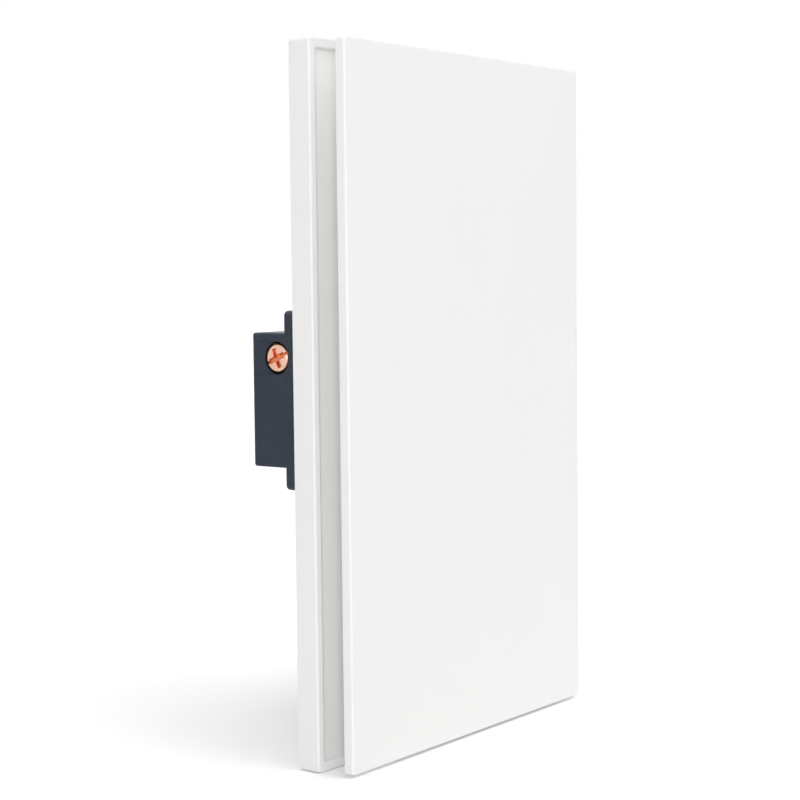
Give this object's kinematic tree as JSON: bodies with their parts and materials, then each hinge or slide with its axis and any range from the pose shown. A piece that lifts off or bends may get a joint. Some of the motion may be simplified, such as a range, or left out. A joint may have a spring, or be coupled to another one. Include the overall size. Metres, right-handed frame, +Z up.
{
  "type": "single light switch",
  "caption": "Wall switch with one large floating rocker plate on an upright axis, a flat recessed frame, and a dark module behind with clamp-screw terminals.",
  "frame": {"origin": "at the wall's surface, midway between the two wall screw holes", "axes": "+Z up along the plate, +Y into the wall along the screws, +X to the right seen from the room"},
  "size_m": [0.0721, 0.032, 0.118],
  "materials": {
    "white_plastic": "smooth satin moulding",
    "carrier_plastic": "plain moulding",
    "slate_plastic": "fine matt moulding",
    "nylon": "plain moulding",
    "spring_steel": "bright wire",
    "brass": "stamped and tumbled",
    "silver": "polished rivet face",
    "copper": "copper flash on steel"
  },
  "bodies": {
    "frame": {"mounting_frame": "white_plastic", "front_cover": "slate_plastic", "rear_housing": "slate_plastic", "fixed_contact_one": "silver", "fixed_contact_two": "silver", "common_strip": "brass", "way_one_strip": "brass", "way_two_strip": "brass", "common_block": "brass", "way_one_block": "brass", "way_two_block": "brass", "common_screw": "copper", "way_one_screw": "copper", "way_two_screw": "copper"},
    "rocker": {"rocker_panel": "white_plastic", "rocker_carrier": "carrier_plastic", "plunger_spring": "spring_steel"},
    "plunger": {"plunger": "nylon"},
    "blade": {"contact_blade": "brass", "moving_contact_one": "silver", "moving_contact_two": "silver"}
  },
  "joints": [
    {"name": "rocker_tilt", "type": "hinge", "parent": "frame", "child": "rocker", "pos_m": [0, 0.0015, 0], "axis": [0, 0, -1], "range_deg": [0, 5]},
    {"name": "blade_rock", "type": "hinge", "parent": "frame", "child": "blade", "pos_m": [0, 0.0159, 0], "axis": [0, 0, 1], "range_deg": [0, 10]},
    {"name": "plunger_slide", "type": "slide", "parent": "rocker", "child": "plunger", "axis": [0.0436, -0.999, 0], "range_m": [0, 0.0004], "stiffness_N_per_m": 300, "springref_m": -0.002, "deforming": ["plunger_spring"]}
  ],
  "couplings": [
    {"joint": "blade_rock", "follows": "rocker_tilt", "ratio": 2}
  ]
}
